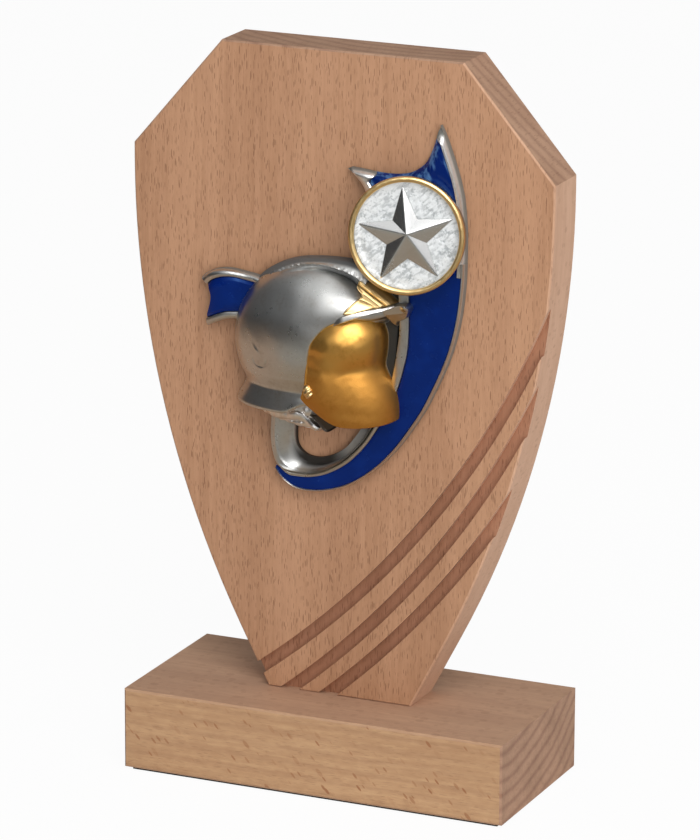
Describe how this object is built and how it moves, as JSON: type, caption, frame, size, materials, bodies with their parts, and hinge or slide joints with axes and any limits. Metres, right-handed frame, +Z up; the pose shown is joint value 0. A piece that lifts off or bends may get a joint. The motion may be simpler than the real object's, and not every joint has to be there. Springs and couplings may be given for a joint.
{
  "type": "wooden trophy",
  "caption": "Free-standing wooden trophy: a coffin-headed shield on a plain block, with routed curved grooves and a metal relief of a visored helmet, an enamelled ribbon and a star medallion.",
  "frame": {"origin": "middle of the underside of the felt, where the trophy stands", "axes": "+Z up, +Y to the back of the shield, +X to the right of a viewer who faces the relief"},
  "size_m": [0.1092, 0.0476, 0.1812],
  "materials": {
    "beech": "bare sanded beech with ray flecks and a thin satin oil",
    "felt": "dark matt felt",
    "zinc": "zinc-plated steel",
    "silver": "satin silver plate over a zinc casting",
    "dark_silver": "darker toned silver",
    "gold": "satin gold plate over a zinc casting",
    "blue_enamel": "glossy deep blue enamel",
    "foam": "double-sided foam adhesive"
  },
  "bodies": {
    "root": {"base_felt": "felt", "base_block": "beech", "shield_panel": "beech", "base_screw_left": "zinc", "base_screw_right": "zinc", "ribbon_casting": "silver", "enamel_swallowtail": "blue_enamel", "enamel_sweep": "blue_enamel", "enamel_tail": "blue_enamel", "helmet_shell": "silver", "helmet_crest": "silver", "brow_badge": "gold", "brow_peak": "silver", "helmet_visor": "gold", "visor_pivot": "gold", "neck_curtain": "silver", "chin_strap": "silver", "medallion_cup": "dark_silver", "adhesive_pad_upper": "foam", "adhesive_pad_lower": "foam", "adhesive_pad_tail": "foam", "medallion_ring": "gold", "star_disc": "silver", "disc_adhesive": "foam"}
  },
  "joints": []
}
